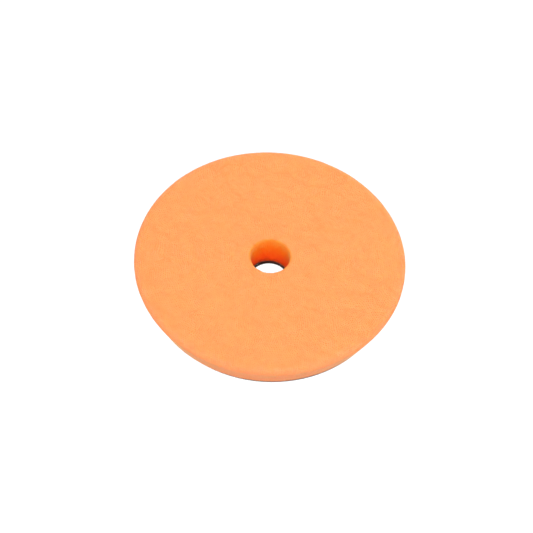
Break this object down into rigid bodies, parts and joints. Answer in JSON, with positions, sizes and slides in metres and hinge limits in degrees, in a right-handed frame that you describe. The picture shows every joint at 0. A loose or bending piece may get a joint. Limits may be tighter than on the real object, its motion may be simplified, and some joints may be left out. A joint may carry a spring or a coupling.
{
  "type": "polishing pad",
  "caption": "Round tapered foam polishing pad with a rounded working edge, a centre hole and a loop backing for a hook-faced backing plate.",
  "frame": {"origin": "centre of the loop face, on the spin axis, where the pad meets the machine's backing plate", "axes": "+Z along the spin axis, from the loop face towards the foam working face; the pad is round, so +X and +Y are any two directions across it"},
  "size_m": [0.14, 0.14, 0.021],
  "materials": {
    "foam": "matt open-cell polyurethane foam, pale orange",
    "adhesive": "thin translucent hot-melt film, seen only as an edge",
    "cloth": "knitted nylon ground cloth, near black",
    "loops": "brushed nylon loops, near black"
  },
  "bodies": {
    "root": {"foam_disc": "foam", "adhesive_film": "adhesive", "backing_cloth": "cloth", "loop_pile": "loops"}
  },
  "joints": []
}
